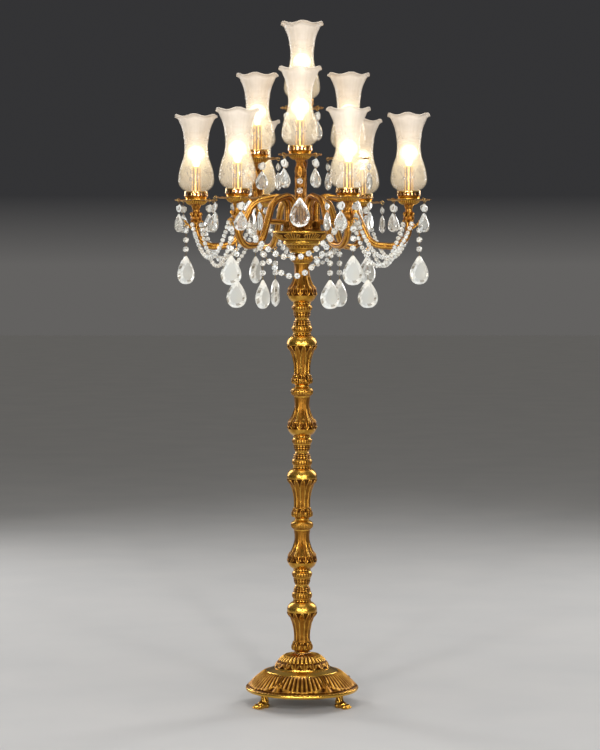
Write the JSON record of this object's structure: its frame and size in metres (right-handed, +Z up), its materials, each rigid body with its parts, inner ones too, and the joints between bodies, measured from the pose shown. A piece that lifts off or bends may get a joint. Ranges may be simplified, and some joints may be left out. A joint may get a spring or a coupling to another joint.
{
  "type": "floor lamp",
  "caption": "Candelabra floor lamp: paw-footed dome base, baluster column, swan-neck arms in tiers with glass hurricane shades, bead swags and teardrop crystals.",
  "frame": {"origin": "on the floor, on the column's axis", "axes": "+Z up along the column; the front of the lamp looks towards -Y"},
  "size_m": [0.6386, 0.6046, 1.7045],
  "materials": {
    "gilt_brass": "cast relief, polished gilt with dark brown patina in the recesses",
    "polished_gilt": "smooth polished gilt",
    "gilt_wire": "bright gilt wire",
    "shade_glass": "frosted and etched blown glass",
    "crystal": "clear faceted cut crystal",
    "bulb_glass": "warm white lit globe bulb",
    "cast_weight": "rough painted casting",
    "plated_steel": "zinc plated",
    "inlet_plastic": "moulded bush",
    "socket_phenolic": "moulded lamp holder"
  },
  "bodies": {
    "root": {"arm_spider": "gilt_brass", "base_cover": "plated_steel", "base_dome": "gilt_brass", "base_skirt": "gilt_brass", "base_weight": "cast_weight", "bulbs": "bulb_glass", "candle_sleeves": "polished_gilt", "centre_pipe": "plated_steel", "centre_stem": "gilt_brass", "column_knops": "gilt_brass", "column_lower_vases": "gilt_brass", "column_upper_vases": "gilt_brass", "cord_inlet": "inlet_plastic", "crystal_wires": "gilt_wire", "drip_pans": "gilt_brass", "fitter_cups": "polished_gilt", "foot_collar": "gilt_brass", "foot_studs": "plated_steel", "hub_bowl": "gilt_brass", "hub_cone": "gilt_brass", "lamp_sockets": "socket_phenolic", "lock_nuts": "plated_steel", "lower_arm_1": "gilt_brass", "lower_arm_2": "gilt_brass", "lower_arm_3": "gilt_brass", "lower_arm_4": "gilt_brass", "lower_arm_5": "gilt_brass", "lower_arm_6": "gilt_brass", "pan_drops": "crystal", "pan_octagons": "crystal", "paw_feet": "gilt_brass", "swag_beads": "crystal", "upper_arm_1": "gilt_brass", "upper_arm_2": "gilt_brass", "upper_arm_3": "gilt_brass"},
    "glass_shade_1": {"glass_shade_1": "shade_glass"},
    "glass_shade_10": {"glass_shade_10": "shade_glass"},
    "glass_shade_2": {"glass_shade_2": "shade_glass"},
    "glass_shade_3": {"glass_shade_3": "shade_glass"},
    "glass_shade_4": {"glass_shade_4": "shade_glass"},
    "glass_shade_5": {"glass_shade_5": "shade_glass"},
    "glass_shade_6": {"glass_shade_6": "shade_glass"},
    "glass_shade_7": {"glass_shade_7": "shade_glass"},
    "glass_shade_8": {"glass_shade_8": "shade_glass"},
    "glass_shade_9": {"glass_shade_9": "shade_glass"},
    "inner_pendant_1": {"inner_pendant_1": "crystal"},
    "inner_pendant_2": {"inner_pendant_2": "crystal"},
    "inner_pendant_3": {"inner_pendant_3": "crystal"},
    "inner_pendant_4": {"inner_pendant_4": "crystal"},
    "inner_pendant_5": {"inner_pendant_5": "crystal"},
    "inner_pendant_6": {"inner_pendant_6": "crystal"},
    "outer_pendant_1": {"outer_pendant_1": "crystal"},
    "outer_pendant_2": {"outer_pendant_2": "crystal"},
    "outer_pendant_3": {"outer_pendant_3": "crystal"},
    "outer_pendant_4": {"outer_pendant_4": "crystal"},
    "outer_pendant_5": {"outer_pendant_5": "crystal"},
    "outer_pendant_6": {"outer_pendant_6": "crystal"},
    "upper_pendant_1": {"upper_pendant_1": "crystal"},
    "upper_pendant_2": {"upper_pendant_2": "crystal"},
    "upper_pendant_3": {"upper_pendant_3": "crystal"}
  },
  "joints": [
    {"name": "shade_lift_1", "type": "slide", "parent": "root", "child": "glass_shade_1", "axis": [0, 0, 1], "range_m": [0, 0.15]},
    {"name": "shade_lift_2", "type": "slide", "parent": "root", "child": "glass_shade_2", "axis": [0, 0, 1], "range_m": [0, 0.15]},
    {"name": "shade_lift_3", "type": "slide", "parent": "root", "child": "glass_shade_3", "axis": [0, 0, 1], "range_m": [0, 0.15]},
    {"name": "shade_lift_4", "type": "slide", "parent": "root", "child": "glass_shade_4", "axis": [0, 0, 1], "range_m": [0, 0.15]},
    {"name": "shade_lift_5", "type": "slide", "parent": "root", "child": "glass_shade_5", "axis": [0, 0, 1], "range_m": [0, 0.15]},
    {"name": "shade_lift_6", "type": "slide", "parent": "root", "child": "glass_shade_6", "axis": [0, 0, 1], "range_m": [0, 0.15]},
    {"name": "shade_lift_7", "type": "slide", "parent": "root", "child": "glass_shade_7", "axis": [0, 0, 1], "range_m": [0, 0.15]},
    {"name": "shade_lift_8", "type": "slide", "parent": "root", "child": "glass_shade_8", "axis": [0, 0, 1], "range_m": [0, 0.15]},
    {"name": "shade_lift_9", "type": "slide", "parent": "root", "child": "glass_shade_9", "axis": [0, 0, 1], "range_m": [0, 0.15]},
    {"name": "shade_lift_10", "type": "slide", "parent": "root", "child": "glass_shade_10", "axis": [0, 0, 1], "range_m": [0, 0.15]},
    {"name": "outer_swing_1", "type": "hinge", "parent": "root", "child": "outer_pendant_1", "pos_m": [0.12151, -0.26662, 1.197], "axis": [0.91, 0.4147, 0], "range_deg": [-50, 10]},
    {"name": "outer_swing_2", "type": "hinge", "parent": "root", "child": "outer_pendant_2", "pos_m": [0.29165, -0.02808, 1.197], "axis": [0.0958, 0.9954, 0], "range_deg": [-50, 10]},
    {"name": "outer_swing_3", "type": "hinge", "parent": "root", "child": "outer_pendant_3", "pos_m": [0.17015, 0.23854, 1.197], "axis": [-0.8141, 0.5807, 0], "range_deg": [-50, 10]},
    {"name": "outer_swing_4", "type": "hinge", "parent": "root", "child": "outer_pendant_4", "pos_m": [-0.12151, 0.26662, 1.197], "axis": [-0.91, -0.4147, 0], "range_deg": [-50, 10]},
    {"name": "outer_swing_5", "type": "hinge", "parent": "root", "child": "outer_pendant_5", "pos_m": [-0.29165, 0.02808, 1.197], "axis": [-0.0958, -0.9954, 0], "range_deg": [-50, 10]},
    {"name": "outer_swing_6", "type": "hinge", "parent": "root", "child": "outer_pendant_6", "pos_m": [-0.17015, -0.23854, 1.197], "axis": [0.8141, -0.5807, 0], "range_deg": [-50, 10]},
    {"name": "inner_swing_1", "type": "hinge", "parent": "root", "child": "inner_pendant_1", "pos_m": [0.06842, -0.15014, 1.138], "axis": [0.91, 0.4147, 0], "range_deg": [-40, 35]},
    {"name": "inner_swing_2", "type": "hinge", "parent": "root", "child": "inner_pendant_2", "pos_m": [0.16424, -0.01581, 1.138], "axis": [0.0958, 0.9954, 0], "range_deg": [-40, 35]},
    {"name": "inner_swing_3", "type": "hinge", "parent": "root", "child": "inner_pendant_3", "pos_m": [0.09582, 0.13433, 1.138], "axis": [-0.8141, 0.5807, 0], "range_deg": [-40, 35]},
    {"name": "inner_swing_4", "type": "hinge", "parent": "root", "child": "inner_pendant_4", "pos_m": [-0.06842, 0.15014, 1.138], "axis": [-0.91, -0.4147, 0], "range_deg": [-40, 35]},
    {"name": "inner_swing_5", "type": "hinge", "parent": "root", "child": "inner_pendant_5", "pos_m": [-0.16424, 0.01581, 1.138], "axis": [-0.0958, -0.9954, 0], "range_deg": [-40, 35]},
    {"name": "inner_swing_6", "type": "hinge", "parent": "root", "child": "inner_pendant_6", "pos_m": [-0.09582, -0.13433, 1.138], "axis": [0.8141, -0.5807, 0], "range_deg": [-40, 35]},
    {"name": "upper_swing_1", "type": "hinge", "parent": "root", "child": "upper_pendant_1", "pos_m": [-0.00555, -0.1589, 1.3145], "axis": [0.9994, -0.0349, 0], "range_deg": [-40, 3]},
    {"name": "upper_swing_2", "type": "hinge", "parent": "root", "child": "upper_pendant_2", "pos_m": [0.14039, 0.07465, 1.3145], "axis": [-0.4695, 0.8829, 0], "range_deg": [-40, 3]},
    {"name": "upper_swing_3", "type": "hinge", "parent": "root", "child": "upper_pendant_3", "pos_m": [-0.13484, 0.08426, 1.3145], "axis": [-0.5299, -0.848, 0], "range_deg": [-40, 3]}
  ]
}
